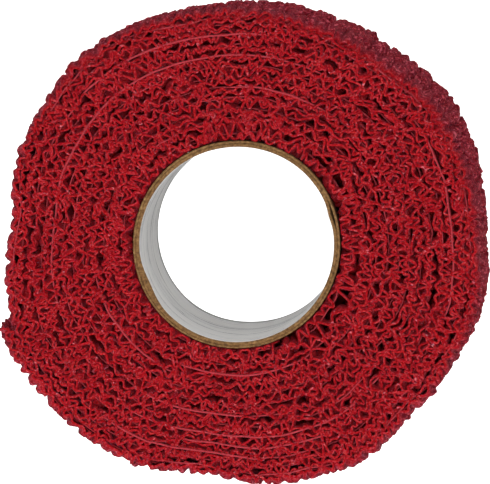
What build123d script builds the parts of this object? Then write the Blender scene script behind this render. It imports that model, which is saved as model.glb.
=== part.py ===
"""Hand wrap: a ribbon of crinkled, elastic, self-sticking cloth wound on a paper core.

The roll lies on its end. Z is the axis of the core, Z = 0 is the lower end face, and
millimetres are used throughout. The ribbon is a laminate of two webs with elastic yarns
between them. It winds outward clockwise, seen from above, and its free end is a tail
of three flaps, each hinged on the one before.
"""

import os
from math import cos, degrees, radians, sin

from build123d import *

# Ribbon
RIBBON_WIDTH = 50.0
TURN_PITCH = 1.42
WEB_THICKNESS = 0.48
YARN_THICKNESS = 0.28
YARN_WIDTH = 0.5
BOND_FILM = 0.04
YARN_COUNT = 20
YARN_EDGE_MARGIN = 0.5

# Core
BORE_RADIUS = 12.7
LINER_THICKNESS = 0.15
PLY_THICKNESS = 0.30
GLUE_LINE = 0.04

# Start of the ribbon on the core, and the hot-melt strip that tacks it down
RIBBON_START_RADIUS = 13.92
TACK_THICKNESS = 0.08
TACK_ARC = 24.0
TACK_END_MARGIN = 3.0

# Windings: quarter turns, from the inner end at START_ANGLE to the tip of the tail
START_ANGLE = 290.0
QUARTER_TURNS = 49
TAIL_TIP_ANGLE = START_ANGLE - 90.0 * QUARTER_TURNS
FLAP_ARC = 15.0
FLAP_NAMES = ["tail_end", "tail_middle", "tail_root"]
HINGE_GAP = 0.06

RIBBON_THICKNESS = 2 * WEB_THICKNESS + YARN_THICKNESS + 2 * BOND_FILM
QUARTER_STEP = TURN_PITCH / 4
YARN_PITCH = (RIBBON_WIDTH - 2 * YARN_EDGE_MARGIN) / (YARN_COUNT - 1)

# Depth of each layer above the ribbon's inner face, as (inner face, outer face)
INNER_WEB = (0.0, WEB_THICKNESS)
YARN = (WEB_THICKNESS + BOND_FILM, WEB_THICKNESS + BOND_FILM + YARN_THICKNESS)
OUTER_WEB = (RIBBON_THICKNESS - WEB_THICKNESS, RIBBON_THICKNESS)


def ray(angle):
    """The unit vector at an angle in degrees about Z."""
    return Vector(cos(radians(angle)), sin(radians(angle)))


def quarter_centres():
    """The centres of the quarter arcs, which walk round a small square about the axis."""
    steps = [ray(START_ANGLE - 90 * k) * -QUARTER_STEP for k in range(1, QUARTER_TURNS)]
    centres = [(steps[0] + steps[1]) * -0.5]
    for step in steps:
        centres.append(centres[-1] + step)
    return centres


CENTRES = quarter_centres()


def quarter_radius(quarter):
    """The radius of the ribbon's inner face in one quarter turn."""
    return RIBBON_START_RADIUS + quarter * QUARTER_STEP


def face_point(angle, depth):
    """A point of the ribbon at a winding angle, so far above its inner face."""
    quarter = min(int((START_ANGLE - angle) / 90), QUARTER_TURNS - 1)
    return CENTRES[quarter] + ray(angle) * (quarter_radius(quarter) + depth)


def wound_arcs(first, last, depth):
    """Tangent arcs along the ribbon, clockwise from one winding angle to another."""
    angle = first
    while angle > last + 1e-6:
        quarter = int((START_ANGLE - angle) / 90 + 1e-6)
        stop = max(last, START_ANGLE - 90 * (quarter + 1))
        CenterArc(CENTRES[quarter], quarter_radius(quarter) + depth, angle, stop - angle)
        angle = stop


def wound_face(first, last, layer):
    """The end-on shape of one layer of the ribbon between two winding angles."""
    with BuildSketch() as shape:
        with BuildLine():
            for depth in layer:
                wound_arcs(first, last, depth)
            for angle in (first, last):
                Line(*[face_point(angle, depth) for depth in layer])
        make_face()
    return shape.sketch


def finish(piece, name):
    """Labels a finished sub-part and writes it."""
    piece.part.label = name
    export_step(piece.part, f"parts/{name}.step")


def make_tube(name, inner, wall):
    """One ply of the paper core."""
    with BuildPart() as tube:
        with BuildSketch():
            Circle(inner + wall)
            Circle(inner, mode=Mode.SUBTRACT)
        extrude(amount=RIBBON_WIDTH)
    finish(tube, name)


def make_tack(inner):
    """The hot-melt strip under the inner end of the ribbon."""
    with BuildPart() as tack:
        with BuildSketch(Plane.XY.offset(TACK_END_MARGIN)):
            with BuildLine():
                for radius in (inner, inner + TACK_THICKNESS):
                    CenterArc((0, 0), radius, START_ANGLE - 1, -TACK_ARC)
                for angle in (START_ANGLE - 1, START_ANGLE - 1 - TACK_ARC):
                    Line(ray(angle) * inner, ray(angle) * (inner + TACK_THICKNESS))
            make_face()
        extrude(amount=RIBBON_WIDTH - 2 * TACK_END_MARGIN)
    finish(tack, "core_tack_strip")


def make_web(name, first, last, layer):
    """A web of crinkled cloth, the ribbon's full width."""
    with BuildPart() as web:
        with BuildSketch():
            add(wound_face(first, last, layer))
        extrude(amount=RIBBON_WIDTH)
    finish(web, name)


def make_yarns(name, first, last, numbers):
    """Elastic yarns that run along the ribbon, the given ones of the full set."""
    shape = wound_face(first, last, YARN)
    with BuildPart() as yarns:
        for number in numbers:
            middle = YARN_EDGE_MARGIN + number * YARN_PITCH
            with BuildSketch(Plane.XY.offset(middle - YARN_WIDTH / 2)):
                add(shape)
            extrude(amount=YARN_WIDTH)
    finish(yarns, name)


def make_core():
    """A white liner ply, two kraft plies, and the strip that holds the ribbon's end."""
    inner = BORE_RADIUS
    walls = (LINER_THICKNESS, PLY_THICKNESS, PLY_THICKNESS)
    for name, wall in zip(("core_liner", "core_inner_ply", "core_outer_ply"), walls):
        make_tube(name, inner, wall)
        inner += wall + GLUE_LINE
    make_tack(inner)


def make_roll(last):
    """The wound ribbon, as far as the root of the tail."""
    make_web("wrap_inner_web", START_ANGLE, last, INNER_WEB)
    make_web("wrap_outer_web", START_ANGLE, last, OUTER_WEB)
    for number in range(YARN_COUNT):
        make_yarns(f"elastic_yarn_{number + 1:02d}", START_ANGLE, last, [number])


def make_flap(name, first, last):
    """One stiff flap of the tail, with its hinge line at its first angle."""
    make_web(f"{name}_inner_web", first, last, INNER_WEB)
    make_web(f"{name}_outer_web", first, last, OUTER_WEB)
    make_yarns(f"{name}_yarns", first, last, range(YARN_COUNT))
    hinge = face_point(first + gap_angle() / 2, RIBBON_THICKNESS)
    print(f"{name} hinge line at x {hinge.X:.4f}, y {hinge.Y:.4f}")


def gap_angle():
    """The angle that the gap at a hinge takes up on the ribbon's outer face."""
    outer = quarter_radius(QUARTER_TURNS - 1) + RIBBON_THICKNESS
    return degrees(HINGE_GAP / outer)


os.makedirs("parts", exist_ok=True)
make_core()
flap_end = TAIL_TIP_ANGLE
for flap in FLAP_NAMES:
    flap_start = flap_end + FLAP_ARC
    make_flap(flap, flap_start - gap_angle(), flap_end)
    flap_end = flap_start
make_roll(flap_end)
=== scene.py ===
"""A roll of crinkled, elastic hand wrap on a paper core, standing on its end."""
from math import pi

import bpy
import numpy as np
from mathutils import Matrix, Vector


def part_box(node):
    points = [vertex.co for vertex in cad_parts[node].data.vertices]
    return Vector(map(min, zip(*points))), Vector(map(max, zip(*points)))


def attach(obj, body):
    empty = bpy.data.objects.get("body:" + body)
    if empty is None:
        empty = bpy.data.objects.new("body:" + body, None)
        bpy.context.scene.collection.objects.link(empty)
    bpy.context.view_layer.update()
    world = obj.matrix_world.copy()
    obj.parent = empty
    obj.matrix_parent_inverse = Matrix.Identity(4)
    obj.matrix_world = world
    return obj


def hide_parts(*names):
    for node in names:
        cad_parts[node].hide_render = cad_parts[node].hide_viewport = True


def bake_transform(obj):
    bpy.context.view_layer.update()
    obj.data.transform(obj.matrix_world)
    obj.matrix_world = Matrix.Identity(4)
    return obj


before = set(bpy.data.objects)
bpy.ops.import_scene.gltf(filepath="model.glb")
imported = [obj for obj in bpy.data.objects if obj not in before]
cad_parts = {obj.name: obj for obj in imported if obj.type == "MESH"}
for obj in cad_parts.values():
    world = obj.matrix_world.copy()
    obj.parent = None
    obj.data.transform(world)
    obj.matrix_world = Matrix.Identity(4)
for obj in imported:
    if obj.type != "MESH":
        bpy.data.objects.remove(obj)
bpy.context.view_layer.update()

MM = 0.001
WIDTH = 1000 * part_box("wrap_outer_web")[1][2]

# The ribbon's spiral, in millimetres and degrees. It winds outward clockwise, from
# WIND_START on the core to the tip of the tail.
WIND_START = 290.0
WIND_TURNS = 12.25
TURN_PITCH = 1.42
FIRST_RADIUS = 13.74
CORE_RADIUS = 13.53

# The flaps of the tail, from its root to its tip, and the angle that each one takes up. A
# piece of skin is centred on each hinge, and reaches half as far to both sides of it.
FLAP_ARC = 15.0
FLAPS = ["tail_root", "tail_middle", "tail_end"]

# Bulges (+) and flats (-) of the roll's outline: angle, half-width in degrees, height
LOBES = [
    (262, 15, -1.62), (173, 11, -1.49), (62, 24, -0.26), (98, 14, -0.52), (345, 10, 0.62),
    (128, 14, 0.34), (300, 8, 0.44), (315, 6, -0.43), (35, 12, 0.82), (20, 10, 0.37),
    (75, 10, -0.20), (150, 10, -0.27), (190, 8, -0.31), (205, 9, 0.42), (235, 12, -0.27),
]
# The upper edge of the outer turns leans in along one side
SHOULDER_ANGLE, SHOULDER_HALF_WIDTH, SHOULDER_REACH = 42, 36, 0.9

# The first turn stands off the core's rim at these places: angle, half-width, distance.
# Away from the rims, the feet of its folds are pressed down on the core by SNUG.
GAPS = [(40, 32, 0.6), (178, 34, 0.6)]
SNUG = 0.8

# How far the last turn's cut edges curl in
CURL = 0.75

# How far the tip of the tail stands off the turn below it
TIP_LIFT = 0.2

# The crinkle of each web: mean step from fold to fold and its spread
FOLDS = {"inner_web": (0.58, 0.38), "outer_web": (0.68, 0.44)}
WEB_THICKNESS = 0.30

# How far short of its full height a fold may stop, as a share, and how much evener the last
# turn's folds are in step and in height
MISS, EVEN_STEPS, EVEN_CRESTS = 0.46, 0.40, 0.7

# A rounded zigzag reaches half as far as its corners do, so they stand this much higher
OVERSHOOT = 2.15

# Rows of a web from its cut edge inward: depth, and thickness as a share of the full one
EDGE_ROWS = [
    (0.0, 0.0), (0.06, 0.8), (0.26, 1.0), (0.8, 1.0), (1.5, 1.0), (2.6, 1.0), (5.0, 1.0),
]

# The elastic yarns, and how far they pull the last turn's outer web in
YARN_COUNT = 20
YARN_RADIUS, BARE_YARN_RADIUS = 0.085, 0.13
YARN_DIP = 0.16

# How far the folds lean along the ribbon halfway between its edges, where no fold is a
# straight shaft from end to end
MIDDLE_SHIFT = 3.4

# How far the frayed cut edges stray from their folds, and how far in the brighter cut-edge
# colour reaches, in the outer web's last turn and the tail and in the others. In the others it
# reaches far past the edge: painted light on the floors of the cells between the folds.
FLUTTER = 0.085
OUTER_FRAY, INNER_FRAY_AND_PAINTED_LIGHT = 1.3, 3.4

# Plies of the core, from the bore outward: name, inner and outer radius
PLIES = [("core_liner", 12.70, 12.86), ("core_inner_ply", 12.87, 13.20),
         ("core_outer_ply", 13.205, 13.53)]
LINER_SET_BACK = 0.3

# Where the inner plies have split from the outer one, and where they are lapped, at the upper
# rim: angle, half-width, distance
SPLIT, LAP = (17, 6, 0.30), (204, 13, 0.36)

# Where the uppermost yarn lies bare on the cut edge: turns from the core, reach along it
SHOWN = [(2.06, 9.0), (3.2, 7.0), (4.6, 7.0), (6.1, 10.0), (7.44, 30.0), (8.04, 21.0),
         (9.05, 14.0), (9.49, 16.0), (9.79, 14.0), (10.1, 15.0)]


# ---------------------------------------------------------------- the wound ribbon

def turns_at(length):
    """Turns wound from the core, for a length along the ribbon's inner face."""
    a, b = FIRST_RADIUS, TURN_PITCH
    return (np.sqrt(a * a + b * length / pi) - a) / b


def length_at(turns):
    """Length along the ribbon's inner face, for turns wound from the core."""
    return 2 * pi * (FIRST_RADIUS * turns + TURN_PITCH * turns**2 / 2)


def length_before_tip(degrees):
    """Length along the ribbon at an angle back from the tip of the tail."""
    return length_at(WIND_TURNS - degrees / 360)


# Lengths along the ribbon: its end, and the starts of the skin that bends and the last turn
RIBBON_LENGTH = length_at(WIND_TURNS)
SKIN_START = length_before_tip((len(FLAPS) + 0.5) * FLAP_ARC)
LAST_TURN = length_before_tip((len(FLAPS) + 0.5) * FLAP_ARC + 340)


def smooth_step(x):
    """Goes smoothly from 0 to 1 as x does."""
    x = np.clip(x, 0, 1)
    return x * x * (3 - 2 * x)


def bump(angle, middle, half_width):
    """A smooth bump of height 1 at an angle in degrees."""
    away = (angle - middle + 180) % 360 - 180
    return np.exp(-((away / half_width) ** 2))


def lobes(angle):
    """How far the roll's outline stands out of round at an angle in degrees."""
    return sum(height * bump(angle, middle, half_width) for middle, half_width, height in LOBES)


def place(length, height, z):
    """Points of the roll, from length along the ribbon, height over its inner face, and z."""
    turns = turns_at(length)
    angle = WIND_START - 360 * turns
    depth = np.minimum(z, WIDTH - z)
    inside = 1 - np.exp(-depth / 2.5)
    # The first turn lies near the core and is loose enough to fill the step at its start.
    first = 1 - smooth_step((turns - 0.93) / 0.09)
    slack = TURN_PITCH * turns * (0.75 + 0.2 * inside) * first
    radius = FIRST_RADIUS + TURN_PITCH * turns - slack + height * (1 + slack / TURN_PITCH)
    gap = sum(distance * bump(angle, middle, half) for middle, half, distance in GAPS)
    snug = SNUG * (1 - np.exp(-depth / 3)) * np.clip(1 - height / 0.9, 0, 1.2)
    radius = radius + first * (gap * np.exp(-depth / 9) - snug)
    wound = np.clip((radius - CORE_RADIUS) / (TURN_PITCH * WIND_TURNS), 0, 1.1)
    radius = radius + lobes(angle) * wound**1.4
    lean = SHOULDER_REACH * bump(angle, SHOULDER_ANGLE, SHOULDER_HALF_WIDTH) * wound**4
    radius = radius - lean * np.exp(-(((WIDTH - z) / 7) ** 2))
    last = np.clip(turns - (WIND_TURNS - 1.6), 0, 1)
    radius = radius - CURL * last * np.exp(-((depth / 1.5) ** 2))
    radius = radius + TIP_LIFT * np.exp(-np.maximum(RIBBON_LENGTH - length, 0) / 1.6)
    radius = np.maximum(radius, CORE_RADIUS + 0.25)
    a = np.radians(angle)
    return np.stack([radius * np.cos(a), radius * np.sin(a), z], axis=-1)


def smooth_noise(rng, x, step, rows=1):
    """Smooth random values at x, one row each, with a new random value every step."""
    knots = rng.standard_normal((rows, int(x.max() / step) + 4))
    at = np.clip(x / step, 0, None)
    i = at.astype(int)
    f = smooth_step(at - i)
    return knots[:, i] * (1 - f) + knots[:, i + 1] * f


def crinkle(rng, end, folds, low, high):
    """A web's zigzag as (length, height) points, from fold to fold with softened corners.

    low and high give the feet and crests of the folds at a length along the ribbon.
    """
    step, spread = folds
    count = int(end / step * 1.1) + 20
    on_last_turn = np.arange(count) * step * 1.02 > LAST_TURN
    strays = spread * (1 - EVEN_STEPS * on_last_turn) * rng.standard_normal(count)
    steps = np.clip(step + strays, -0.5 * step, 2.2 * step)
    length = np.concatenate([[0], np.cumsum(steps)])
    length = np.append(length[length < end - 0.5 * step], end)
    is_crest = np.arange(len(length)) % 2 > 0
    miss = MISS * rng.random(len(length)) ** 2.0
    miss = np.where(is_crest, 1 - miss * (1 - EVEN_CRESTS * (length > LAST_TURN)), miss)
    middle, half = (low(length) + high(length)) / 2, (high(length) - low(length)) / 2
    return round_corners(length, middle + OVERSHOOT * half * (2 * miss - 1))


def round_corners(length, height):
    """A smooth wave inside a zigzag: five points to a fold, on curves from wall to wall."""
    x, y = [length[:1]], [height[:1]]
    before, at, after = slice(0, -2), slice(1, -1), slice(2, None)
    for values, out in ((length, x), (height, y)):
        start, end = (values[before] + values[at]) / 2, (values[at] + values[after]) / 2
        curve = [(1 - t) ** 2 * start + 2 * t * (1 - t) * values[at] + t**2 * end
                 for t in (0.22, 0.41, 0.59, 0.78, 1.0)]
        out.append(np.stack(curve, axis=1).ravel())
        out.append(values[-1:])
    return np.concatenate(x), np.concatenate(y)


def yarn_level(number):
    """The z of an elastic yarn, counted from the lowest one."""
    return 0.5 + number * (WIDTH - 1.0) / (YARN_COUNT - 1)


def web_rows(fine=False):
    """(z, thickness share) of each row of a web, from the top edge to the bottom one.

    The fine ones have three rows to each elastic yarn.
    """
    top = [(WIDTH - d, share) for d, share in EDGE_ROWS]
    bottom = [(d, share) for d, share in reversed(EDGE_ROWS)]
    if fine:
        middle = [(yarn_level(n / 3), 1.0) for n in range(3 * YARN_COUNT - 9, 5, -1)]
    else:
        middle = [(WIDTH - 14, 1.0), (WIDTH / 2, 1.0), (14, 1.0)]
    return top + middle + bottom


class Wander:
    """How the folds of a web wander along and across the ribbon between its edges."""

    STEP = 0.4

    def __init__(self, rng, end, columns, reach=0.48, step_z=1.2):
        self.levels = int(WIDTH / step_z) + 3
        self.step_z = step_z
        grid = np.arange(0, end + 8, self.STEP)
        self.columns = len(grid)
        self.along = smooth_noise(rng, grid, 1.4, self.levels) * reach
        self.across = smooth_noise(rng, grid, 0.9, self.levels) * 0.17
        self.flutter = smooth_noise(rng, np.arange(columns), 2.3, 2) * FLUTTER

    def at(self, length, z):
        """How far the folds are shifted along and across the ribbon at each point."""
        level = z / self.step_z
        i = np.clip(level.astype(int), 0, self.levels - 2)
        f = smooth_step(level - i)
        column = np.clip((length / self.STEP).astype(int), 0, self.columns - 2)
        g = length / self.STEP - column
        out = []
        for field in (self.along, self.across):
            low = field[i, column] * (1 - g) + field[i, column + 1] * g
            high = field[i + 1, column] * (1 - g) + field[i + 1, column + 1] * g
            out.append(low * (1 - f) + high * f)
        return out


def on_outside(length):
    """0 inside the roll, rising to 1 as the last turn starts."""
    return np.clip((length - LAST_TURN) / 10, 0, 1)


def web_points(length, height, flutter, rows, wander, edge):
    """Front and back grids of a web."""
    front, back = [], []
    outside = on_outside(length)
    for z, share in rows:
        level = z + edge(length, z)
        drift, lift = wander.at(length, level)
        depth = min(z, WIDTH - z)
        drift = drift * (0.7 + (0.9 - 0.65 * outside) * smooth_step((depth - 0.6) / 2.2))
        drift = drift + MIDDLE_SHIFT * np.exp(-(((z - WIDTH / 2) / 8) ** 2)) * (1 - outside)
        deep = 1 - np.exp(-depth / 4)
        tall = 0.7 + (height - 0.7) * (1 - 0.3 * outside + (0.35 + 0.15 * outside) * deep)
        tall = tall - YARN_DIP * deep * at_yarn(z) * outside
        along, up = flutter * np.exp(-depth / 0.9)
        middle = place(length + drift + along, tall + lift + up, level)
        tangent = np.gradient(middle[:, :2], axis=0)
        tangent /= np.maximum(np.linalg.norm(tangent, axis=1, keepdims=True), 1e-9)
        normal = np.stack([tangent[:, 1], -tangent[:, 0], np.zeros(len(tangent))], axis=1)
        half = 0.5 * share * (WEB_THICKNESS * plump(length, z))[:, None] * normal
        front.append(middle + half)
        back.append(middle - half)
    return np.array(front), np.array(back)


def at_yarn(z):
    """1 at the level of an elastic yarn, falling to 0 between two."""
    pitch = yarn_level(1) - yarn_level(0)
    away = (z - yarn_level(0) + pitch / 2) % pitch - pitch / 2
    return np.exp(-((away / 0.4) ** 2))


def plump(length, z):
    """Thick and thin places of a web, as a share of its thickness."""
    return 1 + 0.28 * np.sin(length * 7.3 + 3 * z) * np.sin(length * 3.1 - 2 * z + 1)


def closed_sheet(front, back):
    """Vertices and faces of a thin closed sheet, whose first and last rows are its edges."""
    rows, columns, _ = front.shape
    index = np.arange(rows * columns).reshape(rows, columns)
    other = index + rows * columns
    other[0], other[-1] = index[0], index[-1]
    faces = [quads_between(index), quads_between(other)[:, ::-1]]
    for column, turn in ((0, 1), (columns - 1, -1)):
        a, b = index[:, column], other[:, column]
        faces.append(np.stack([a[1:-2], b[1:-2], b[2:-1], a[2:-1]], axis=-1)[:, ::turn])
        corners = np.array([[a[0], b[1], a[1]], [a[-1], a[-2], b[-2]]])
        faces.append(corners[:, ::turn])
    return np.concatenate([front.reshape(-1, 3), back.reshape(-1, 3)]), faces


def quads_between(grid):
    """The quads of a grid of vertex numbers."""
    quads = np.stack([grid[:-1, :-1], grid[1:, :-1], grid[1:, 1:], grid[:-1, 1:]], axis=-1)
    return quads.reshape(-1, 4)


def new_object(name, points, faces, material, cut=None):
    """A smooth mesh object from points in millimetres and arrays of faces.

    cut says how near each point is to a cut edge, for the material to use.
    """
    used = np.unique(np.concatenate([f.ravel() for f in faces]))
    lookup = np.zeros(len(points), int)
    lookup[used] = np.arange(len(used))
    corners = np.concatenate([lookup[f].ravel() for f in faces])
    sizes = np.concatenate([np.full(len(f), f.shape[1]) for f in faces])
    mesh = bpy.data.meshes.new(name)
    mesh.vertices.add(len(used))
    mesh.vertices.foreach_set("co", (points[used] * MM).astype(np.float32).ravel())
    mesh.loops.add(len(corners))
    mesh.loops.foreach_set("vertex_index", corners.astype(np.int32))
    mesh.polygons.add(len(sizes))
    starts = np.concatenate([[0], np.cumsum(sizes)[:-1]])
    mesh.polygons.foreach_set("loop_start", starts.astype(np.int32))
    mesh.update(calc_edges=True)
    mesh.shade_smooth()
    mesh.materials.append(material)
    if cut is not None:
        kept = mesh.attributes.new("cut", "FLOAT", "POINT")
        kept.data.foreach_set("value", cut[used].astype(np.float32))
    made = bpy.data.objects.new(name, mesh)
    bpy.context.scene.collection.objects.link(made)
    return made


def web_piece(name, path, rows, wander, edge, material):
    """One stretch of a web as an object, with 'cut' near 1 at its cut edges; in the pieces with
    coarse rows it reaches far in, as painted light on the floors of the cells.
    """
    front, back = web_points(*path, rows, wander, edge)
    points, faces = closed_sheet(front, back)
    depth = np.array([min(z, WIDTH - z) for z, _ in rows])
    # In the pieces with coarse rows the bright edge colour reaches far in: painted light in the
    # cells.
    reach = OUTER_FRAY if len(rows) > len(web_rows()) else INNER_FRAY_AND_PAINTED_LIGHT
    cut = np.repeat(np.exp(-((depth / reach) ** 2)), front.shape[1])
    piece = new_object(name, points, faces, material, np.concatenate([cut, cut]))
    return piece


def stretch(path, start, end):
    """The part of a path between two lengths, closed off exactly at both."""
    first, last = np.searchsorted(np.maximum.accumulate(path[0]), (start, end))
    return [values[..., first : last + 1] for values in path]


# ---------------------------------------------------------------- yarns

def yarn_tube(length, height, z, radius, sides=6):
    """An elastic yarn along the ribbon, as the points and faces of a closed tube."""
    middle = place(length, height, z)
    tangent = np.gradient(middle, axis=0)
    tangent /= np.linalg.norm(tangent, axis=1, keepdims=True)
    up = np.array([0.0, 0.0, 1.0])
    out = np.cross(tangent, up)
    around = np.linspace(0, 2 * pi, sides + 1)[:-1]
    reach = np.broadcast_to(radius, len(length))[:, None]
    rings = [middle + reach * (np.cos(a) * out + np.sin(a) * up) for a in around]
    index = np.arange(sides * len(length)).reshape(sides, len(length))
    ends = [index[::-1, 0][None, :], index[:, -1][None, :]]
    return np.concatenate(rings), [quads_between(np.concatenate([index, index[:1]]))] + ends


def joined(shapes):
    """Several (points, faces) shapes as one."""
    points, faces, first = [], [], 0
    for some, their_faces in shapes:
        points.append(some)
        faces += [f + first for f in their_faces]
        first += len(some)
    return np.concatenate(points), faces


# ---------------------------------------------------------------- the core

def ply_piece(rng, name, inner, outer, waves, material):
    """A ply of the core as a closed tube, worn and slightly frayed at both rims."""
    columns = 360
    angle = np.arange(columns) * 360 / columns
    depths = [0.0, 0.05, 0.25, 0.8, 2.0, 4.5, 10.0]
    heights = [WIDTH - d for d in depths] + depths[::-1]
    liner, outermost = name == "core_liner", name == "core_outer_ply"
    rims = [smooth_ring(rng, columns, 60) * 0.045 for _ in range(2)]
    split, lap = bump(angle, *SPLIT[:2]), bump(angle, *LAP[:2])
    front, back = [], []
    for z in heights:
        depth = min(z, WIDTH - z)
        top = z > WIDTH / 2
        near = np.exp(-depth / 1.2)
        share = 0.94 if depth == 0 else 1.0
        lower = near * (0.9 * lap * top * liner + np.abs(rims[int(top)]))
        lower = lower + LINER_SET_BACK * liner * near * (1 - split)
        level = z - lower if top else z + lower
        parted = SPLIT[2] * split * np.exp(-depth / 2.2) * top * (not outermost)
        shift = waves[int(top)] - parted
        swell = LAP[2] * lap * np.exp(-depth / 3.0) * top
        inside = inner - swell * (not outermost)
        outside = outer - swell * liner
        if name == "core_inner_ply":
            inside = inside - 0.14 * (1 - split) * (depth < 0.2)
        half = (outside - inside) / 2 * share
        centre = (outside + inside) / 2 + shift
        a = np.radians(angle)
        for radius, rows in ((centre + half, front), (centre - half, back)):
            rows.append(np.stack([radius * np.cos(a), radius * np.sin(a), level], axis=1))
    loop = np.array(front + back[::-1])
    index = np.arange(loop.shape[0] * columns).reshape(loop.shape[0], columns)
    index = np.concatenate([index, index[:1]])
    index = np.concatenate([index, index[:, :1]], axis=1)
    shape = loop.reshape(-1, 3), [quads_between(index)]
    piece = new_object(name + "_board", *shape, material)
    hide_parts(name)
    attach(piece, "roll")
    return piece


def smooth_ring(rng, columns, knots):
    """Smooth random values round a ring."""
    values = rng.standard_normal(knots)
    at = np.arange(columns) * knots / columns
    i = at.astype(int)
    f = smooth_step(at - i)
    return values[i] * (1 - f) + values[(i + 1) % knots] * f


# ---------------------------------------------------------------- materials

class Nodes:
    """A node tree with short calls for the nodes that these finishes use."""

    def __init__(self, owner):
        owner.use_nodes = True
        self.nodes = owner.node_tree.nodes
        self.links = owner.node_tree.links

    def node(self, kind, inputs=(), **settings):
        made = self.nodes.new(kind)
        for key, value in settings.items():
            setattr(made, key, value)
        for socket, value in dict(inputs).items():
            if hasattr(value, "is_output"):
                self.links.new(value, made.inputs[socket])
            else:
                made.inputs[socket].default_value = value
        return made

    def coordinates(self, scale):
        place = self.node("ShaderNodeTexCoord")
        inputs = {"Vector": place.outputs["Object"], "Scale": scale}
        return self.node("ShaderNodeMapping", inputs).outputs["Vector"]

    def noise(self, vector, scale, detail=4.0, roughness=0.6):
        inputs = {"Vector": vector, "Scale": scale, "Detail": detail, "Roughness": roughness}
        return self.node("ShaderNodeTexNoise", inputs).outputs["Fac"]

    def ramp(self, factor, stops):
        made = self.node("ShaderNodeValToRGB", {"Fac": factor})
        elements = made.color_ramp.elements
        while len(elements) < len(stops):
            elements.new(0.5)
        for element, (at, colour) in zip(elements, stops):
            element.position = at
            element.color = (*colour, 1.0)
        return made.outputs["Color"]

    def mix(self, factor, a, b, blend="MIX"):
        made = self.node("ShaderNodeMix", data_type="RGBA", blend_type=blend)
        sockets = made.inputs[0], made.inputs[6], made.inputs[7]
        for socket, value in zip(sockets, (factor, a, b)):
            if hasattr(value, "is_output"):
                self.links.new(value, socket)
            else:
                socket.default_value = value
        return made.outputs[2]

    def maths(self, operation, a, b):
        return self.node("ShaderNodeMath", {0: a, 1: b}, operation=operation).outputs[0]

    def seen_by_camera(self):
        return self.node("ShaderNodeLightPath").outputs["Is Camera Ray"]


class Shader(Nodes):
    """A material with a Principled surface."""

    def __init__(self, name, roughness, **inputs):
        self.material = bpy.data.materials.new(name)
        super().__init__(self.material)
        self.surface = self.nodes["Principled BSDF"]
        self.surface.inputs["Roughness"].default_value = roughness
        for key, value in inputs.items():
            self.surface.inputs[key.replace("_", " ")].default_value = value

    def colour(self, value):
        self.links.new(value, self.surface.inputs["Base Color"])

    def bump(self, height, distance, strength=1.0):
        inputs = {"Height": height, "Distance": distance, "Strength": strength}
        made = self.node("ShaderNodeBump", inputs)
        self.links.new(made.outputs["Normal"], self.surface.inputs["Normal"])


def crepe_material(name, painted_side_shade):
    """Red non-woven cloth: speckled with pale fibres, and brighter at its cut edges, where the
    fibres show; the edge colour also holds painted glints, and in the turns inside it reaches
    deep into the cells as painted light.

    For the outermost turn and the tail the base is dark and purplish: painted shade on the
    roll's side. For the turns inside it is bright: painted light on the walls and floors of the
    cells between the folds.
    """
    cloth = Shader(name, 0.85, Sheen_Weight=0.04, Sheen_Roughness=0.4,
                   Sheen_Tint=(0.95, 0.35, 0.55, 1.0), Specular_IOR_Level=0.04,
                   Subsurface_Weight=0.6, Subsurface_Scale=0.0005)
    where = cloth.coordinates((1, 1, 1))
    fibres = cloth.noise(where, 3400, 5.0, 0.7)
    patches = cloth.noise(where, 260, 3.0)
    flecks = cloth.noise(cloth.coordinates((1.0, 1.0, 0.3)), 2300, 2.0, 0.5)
    # The first shades are dark and purplish: painted shade on the roll's side. The second, for
    # the turns inside, are bright: painted light in the depths of the cells.
    shades = [(0.06, 0.001, 0.004), (0.20, 0.005, 0.012), (0.47, 0.036, 0.058)]
    if not painted_side_shade:
        shades = [(0.55, 0.002, 0.005), (0.78, 0.004, 0.009), (0.88, 0.016, 0.026)]
    fine = cloth.ramp(fibres, list(zip((0.36, 0.50, 0.64), shades)))
    broad = cloth.ramp(patches, [(0.3, (0.80, 0.74, 0.80)), (0.7, (1.0, 1.0, 1.0))])
    base = cloth.mix(1.0, fine, broad, "MULTIPLY")
    pale = cloth.ramp(flecks, [(0.56, (0.0, 0.0, 0.0)), (0.66, (0.9, 0.9, 0.9))])
    base = cloth.mix(pale, base, (0.60, 0.085, 0.12, 1.0))
    edge = cloth.ramp(fibres, [(0.34, (0.25, 0.002, 0.006)), (0.50, (0.38, 0.006, 0.012)),
                               (0.64, (0.54, 0.054, 0.062))])
    edge = cloth.mix(1.0, edge, broad, "MULTIPLY")
    # Painted glints: pale pink highlight specks painted into the edge colour.
    painted_glint_noise = cloth.noise(where, 1900, 2.0, 0.5)
    painted_glints = cloth.ramp(painted_glint_noise, [(0.65, (0, 0, 0)), (0.76, (1, 1, 1))])
    edge = cloth.mix(painted_glints, edge, (0.64, 0.14, 0.17, 1.0))
    # 'cut' brings in the brighter edge colour at the cut edges, and deep in the cells of the
    # turns inside as painted light.
    cut = cloth.node("ShaderNodeAttribute", attribute_name="cut").outputs["Fac"]
    cloth.colour(cloth.mix(cut, base, edge))
    furrows = cloth.noise(cloth.coordinates((1.0, 1.0, 0.16)), 1300, 3.0, 0.55)
    relief = cloth.maths("ADD", cloth.maths("MULTIPLY", furrows, 1.6), fibres)
    cloth.bump(relief, 0.00016, 1.0)
    return cloth.material


def yarn_material():
    """Covered elastic yarn at the cut edges, a shade lighter than the webs."""
    yarn = Shader("elastic_yarn", 0.7, Specular_IOR_Level=0.2, Sheen_Weight=0.1)
    where = yarn.coordinates((1, 1, 1))
    strands = yarn.noise(where, 2600, 4.0)
    yarn.colour(yarn.ramp(strands, [(0.3, (0.28, 0.008, 0.016)), (0.7, (0.46, 0.034, 0.050))]))
    yarn.bump(strands, 0.00006)
    return yarn.material


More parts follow.
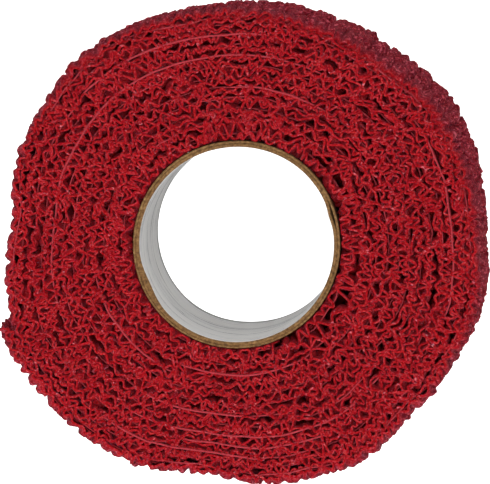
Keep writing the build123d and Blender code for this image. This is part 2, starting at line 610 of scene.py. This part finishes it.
def hidden_yarn_material():
    """The same yarn inside the roll, where no pattern would show."""
    colour = (0.34, 0.014, 0.022, 1.0)
    return Shader("elastic_yarn_inside", 0.7, Specular_IOR_Level=0.2, Base_Color=colour).material


def kraft_material():
    """Brown board with long fibres and darker flecks."""
    board = Shader("kraft_paper", 0.8, Specular_IOR_Level=0.3)
    where = board.coordinates((1, 1, 1))
    fibres = board.noise(where, 2400, 6.0, 0.7)
    patches = board.noise(where, 170, 3.0)
    fine = board.ramp(fibres, [(0.36, (0.075, 0.034, 0.010)), (0.5, (0.18, 0.088, 0.027)),
                               (0.66, (0.33, 0.190, 0.075))])
    broad = board.ramp(patches, [(0.35, (0.80, 0.76, 0.68)), (0.65, (1.0, 1.0, 1.0))])
    board.colour(board.mix(1.0, fine, broad, "MULTIPLY"))
    board.bump(fibres, 0.00008, 0.8)
    return board.material


def liner_material():
    """White paper with grey streaks that run round the bore, painted dark grey in the bore's
    lowest few millimetres: painted shade at its far end.
    """
    paper = Shader("liner_paper", 0.55, Specular_IOR_Level=0.4)
    streaks = paper.noise(paper.coordinates((0.14, 0.14, 1.0)), 420, 5.0, 0.7)
    clouds = paper.noise(paper.coordinates((0.3, 0.3, 1.0)), 60, 3.0)
    fine = paper.ramp(streaks, [(0.37, (0.32, 0.32, 0.33)), (0.45, (0.94, 0.94, 0.93)),
                                (0.56, (1.0, 0.99, 0.97))])
    broad = paper.ramp(clouds, [(0.32, (0.94, 0.94, 0.95)), (0.50, (1.0, 1.0, 1.0))])
    fine = paper.mix(0.8, fine, broad, "MULTIPLY")
    # Painted shade: below a ragged line a few millimetres up, the bore goes dark grey, as its
    # far end lies in shade.
    height = paper.node("ShaderNodeSeparateXYZ", {0: paper.coordinates((1, 1, 1))}).outputs["Z"]
    painted_shade_reach = paper.maths("MULTIPLY", paper.noise(paper.coordinates((0.3, 0.3, 1)), 420), 0.009)
    painted_shade = paper.ramp(paper.maths("MULTIPLY", paper.maths("SUBTRACT", painted_shade_reach, height), 400),
                         [(0.0, (0.0, 0.0, 0.0)), (0.9, (0.85, 0.85, 0.85))])
    paper.colour(paper.mix(painted_shade, fine, (0.16, 0.16, 0.15, 1.0)))
    paper.bump(streaks, 0.00004, 0.6)
    return paper.material


def tack_material():
    """Cloudy, set hot melt."""
    glue = Shader("hot_melt", 0.35)
    clouds = glue.noise(glue.coordinates((1, 1, 1)), 700, 3.0)
    glue.colour(glue.ramp(clouds, [(0.3, (0.62, 0.52, 0.30)), (0.7, (0.80, 0.74, 0.56))]))
    return glue.material


# ---------------------------------------------------------------- the pieces

crepe_with_painted_side_shade = crepe_material("crepe_web", True)
crepe_with_painted_fill = crepe_material("crepe_web_painted_fill", False)
yarn_skin, hidden_yarn_skin = yarn_material(), hidden_yarn_material()


def slow_share(rng, step, floor=0.0):
    """A function from length to a smooth random share between floor and 1."""
    grid = np.arange(0, RIBBON_LENGTH + 10, 1.0)
    values = floor + (1 - floor) / (1 + np.exp(-1.6 * smooth_noise(rng, grid, step)[0]))
    return lambda length: np.interp(length, grid, values)


def ragged(rng, reach):
    """How far a cut edge stands in or out at a length; it fades away from the edges."""
    grid = np.arange(0, RIBBON_LENGTH + 10, 0.3)
    sides = [smooth_noise(rng, grid, 1.1)[0] * reach - reach for _ in range(2)]
    outer = np.clip((turns_at(grid) - (WIND_TURNS - 1.3)) / 0.5, 0, 1) * 0.7

    def edge(length, z):
        top = z > WIDTH / 2
        fade = np.exp(-(WIDTH - z if top else z) / 1.2)
        value = np.interp(length, grid, np.minimum(sides[int(top)], 0.0) - outer) * fade
        return value if top else -value

    return edge


def make_webs():
    """Both webs of the ribbon, from the core to the tip of the tail.

    The feet and crests of their folds lie at these heights over the ribbon's inner face.
    """
    rng = np.random.default_rng(11)
    relief = slow_share(rng, 9.0)

    def inner_high(length):
        return 0.34 + 0.50 * relief(length)

    def outer_low(length):
        last = on_outside(length)
        return (0.12 + 0.36 * relief(length)) * (1 - last) + 0.60 * last

    def outer_high(length):
        return 1.56 - 0.26 * on_outside(length + 190) + 0.12 * on_outside(length)

    def inner_low(length):
        return np.full(len(length), -0.14)

    webs = [
        ("inner_web", "wrap_inner_web", inner_low, inner_high),
        ("outer_web", "wrap_outer_web", outer_low, outer_high),
    ]
    middle_start, outer_start = length_at(4.5), length_at(8.3)
    spans = [("core_turns", 0.0, middle_start), ("middle_turns", middle_start, outer_start),
             ("outer_turns", outer_start, LAST_TURN), ("last_turn", LAST_TURN, SKIN_START)]
    for web, node, low, high in webs:
        path = crinkle(rng, RIBBON_LENGTH, FOLDS[web], low, high)
        wander = Wander(rng, RIBBON_LENGTH, len(path[0]))
        path = (*path, wander.flutter)
        edge = ragged(rng, 0.16)
        outer = web == "outer_web"
        for label, start, end in spans:
            rows = web_rows(outer and label == "last_turn")
            part = stretch(path, start, end)
            cloth = crepe_with_painted_side_shade if label == "last_turn" else crepe_with_painted_fill
            piece = web_piece(f"{web}_{label}", part, rows, wander, edge, cloth)
            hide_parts(node)
            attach(piece, "roll")
        for flap in FLAPS:
            part = stretch(path, *flap_span(flap))
            name = f"{flap}_{web}_skin"
            rows = web_rows(True)
            piece = web_piece(name, part, rows, wander, edge, crepe_with_painted_side_shade)
            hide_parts(f"{flap}_{web}")
            bend_at_hinge(piece)


def flap_span(flap):
    """Lengths along the ribbon where the skin that bends at a flap's hinge starts and ends."""
    hinge = (len(FLAPS) - FLAPS.index(flap)) * FLAP_ARC
    end = RIBBON_LENGTH if flap == FLAPS[-1] else length_before_tip(hinge - FLAP_ARC / 2)
    return length_before_tip(hinge + FLAP_ARC / 2), end


def bend_at_hinge(piece):
    """Bakes a piece of the tail's transform into its mesh."""
    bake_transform(piece)


def make_yarns():
    """The elastic yarns, which wander a little; the outermost show at the cut edges."""
    rng = np.random.default_rng(5)
    grid = np.arange(0, RIBBON_LENGTH + 10, 1.0)
    tail_sets = {flap: [] for flap in FLAPS}
    for number in range(YARN_COUNT):
        z = yarn_level(number)
        at_edge = number in (0, YARN_COUNT - 1)
        up = smooth_noise(rng, grid, 5.0)[0] * 0.45
        out = smooth_noise(rng, grid, 1.6)[0] * 0.09
        shown = sum(np.exp(-((grid - length_at(turns)) / reach) ** 4) for turns, reach in SHOWN)
        shown = np.clip(shown, 0, 1) * (number == YARN_COUNT - 1)
        dips = smooth_noise(rng, grid, 3.0)[0] * 0.16

        def tube(start, end):
            length = np.linspace(start, end, int((end - start) / (0.5 if at_edge else 3.0)) + 4)
            sunk = 0.75 * ((z < 1) - 1.0 * (z > WIDTH - 1))
            bare = np.interp(length, grid, shown)
            level = z + (sunk + np.interp(length, grid, up)) * (1 - bare)
            level = level + (0.36 + np.interp(length, grid, dips)) * bare
            level = np.clip(level, 0.12, WIDTH - 0.08)
            height = 0.55 + np.interp(length, grid, out) * (1 - 0.3 * bare)
            radius = YARN_RADIUS + (BARE_YARN_RADIUS - YARN_RADIUS) * bare
            return yarn_tube(length, height, level, radius)

        name = f"elastic_yarn_{number + 1:02d}"
        skin = yarn_skin if at_edge else hidden_yarn_skin
        piece = new_object(name + "_strand", *tube(0.5, SKIN_START), skin)
        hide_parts(name)
        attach(piece, "roll")
        for flap in FLAPS:
            tail_sets[flap].append(tube(*flap_span(flap)))
    for flap in FLAPS:
        piece = new_object(f"{flap}_yarn_strands", *joined(tail_sets[flap]), hidden_yarn_skin)
        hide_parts(f"{flap}_yarns")
        bend_at_hinge(piece)


def make_core():
    """The core's three plies and the strip of hot melt that holds the ribbon's inner end."""
    rng = np.random.default_rng(3)
    kraft, white = kraft_material(), liner_material()
    waves = [smooth_ring(rng, 360, 8) * 0.13, smooth_ring(rng, 360, 7) * 0.04]
    for name, inner, outer in PLIES:
        liner = name == "core_liner"
        piece = ply_piece(rng, name, inner, outer, waves, white if liner else kraft)
    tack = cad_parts["core_tack_strip"]
    tack.data.materials.clear()
    tack.data.materials.append(tack_material())


make_webs()
make_yarns()
make_core()


# ---------------------------------------------------------------- the stage

NEAR_RIM = Vector((0.0, 0.0, WIDTH * MM))


def make_camera():
    """Looks down on the upper end from above, a little from the +X and +Y sides."""
    distance, focal_length, picture_width = 1.1128, 8540.0, 490
    data = bpy.data.cameras.new("camera")
    data.sensor_width = 36.0
    data.lens = focal_length / picture_width * data.sensor_width
    data.clip_start, data.clip_end = 0.05, 20.0
    camera = bpy.data.objects.new("camera", data)
    bpy.context.scene.collection.objects.link(camera)
    forward = Vector((-0.0377, -0.0392, -1.0)).normalized()
    right = Vector((0, 1, 0)).cross(-forward).normalized()
    up = right.cross(forward).normalized()
    to_rim = forward + right * (-8.4 / focal_length) + up * (-2.8 / focal_length)
    turn = Matrix((right, up, -forward)).transposed().to_4x4()
    camera.matrix_world = Matrix.Translation(NEAR_RIM - distance * to_rim) @ turn
    bpy.context.scene.camera = camera


def make_floor():
    """A plain white floor, which gives less light back to the roll than it shows."""
    half, glow = 3.0, 0.85
    mesh = bpy.data.meshes.new("floor")
    corners = [(-half, -half, 0), (half, -half, 0), (half, half, 0), (-half, half, 0)]
    mesh.from_pydata(corners, [], [(0, 1, 2, 3)])
    floor = bpy.data.objects.new("floor", mesh)
    floor.location.z = -0.0002
    bpy.context.scene.collection.objects.link(floor)
    paint = Shader("floor_white", 0.9, Specular_IOR_Level=0.0, Emission_Color=(1, 1, 1, 1))
    seen = paint.seen_by_camera()
    paint.colour(paint.mix(seen, (0.78, 0.77, 0.77, 1.0), (0.92, 0.92, 0.92, 1.0)))
    strength = paint.maths("MULTIPLY", seen, glow)
    paint.links.new(strength, paint.surface.inputs["Emission Strength"])
    mesh.materials.append(paint.material)


def area_light(name, position, size, power):
    """A round light that faces the upper end of the roll."""
    data = bpy.data.lights.new(name, "AREA")
    data.shape, data.size, data.energy = "DISK", size, power
    light = bpy.data.objects.new(name, data)
    light.location = position
    light.rotation_mode = "QUATERNION"
    light.rotation_quaternion = (Vector(position) - NEAR_RIM).to_track_quat("Z", "Y")
    bpy.context.scene.collection.objects.link(light)


def make_lights():
    """White surroundings, a light overhead and a key from in front."""
    world = bpy.data.worlds.new("studio")
    sky = Nodes(world)
    direction = sky.node("ShaderNodeTexCoord").outputs["Generated"]
    up = sky.node("ShaderNodeSeparateXYZ", {0: direction}).outputs["Z"]
    shade = sky.ramp(up, [(0.0, (0.16, 0.15, 0.16)), (1.0, (0.66, 0.66, 0.66))])
    white = (1.0, 1.0, 1.0, 1.0)
    background = sky.nodes["Background"]
    background.inputs["Strength"].default_value = 1.0
    sky.links.new(sky.mix(sky.seen_by_camera(), shade, white), background.inputs["Color"])
    bpy.context.scene.world = world
    area_light("overhead", (0.06, 0.06, 1.5), 0.3, 12.0)
    area_light("key", (-0.35, -1.0, 0.95), 0.5, 9.5)


make_camera()
make_floor()
make_lights()
bpy.context.scene.view_settings.view_transform = "Standard"
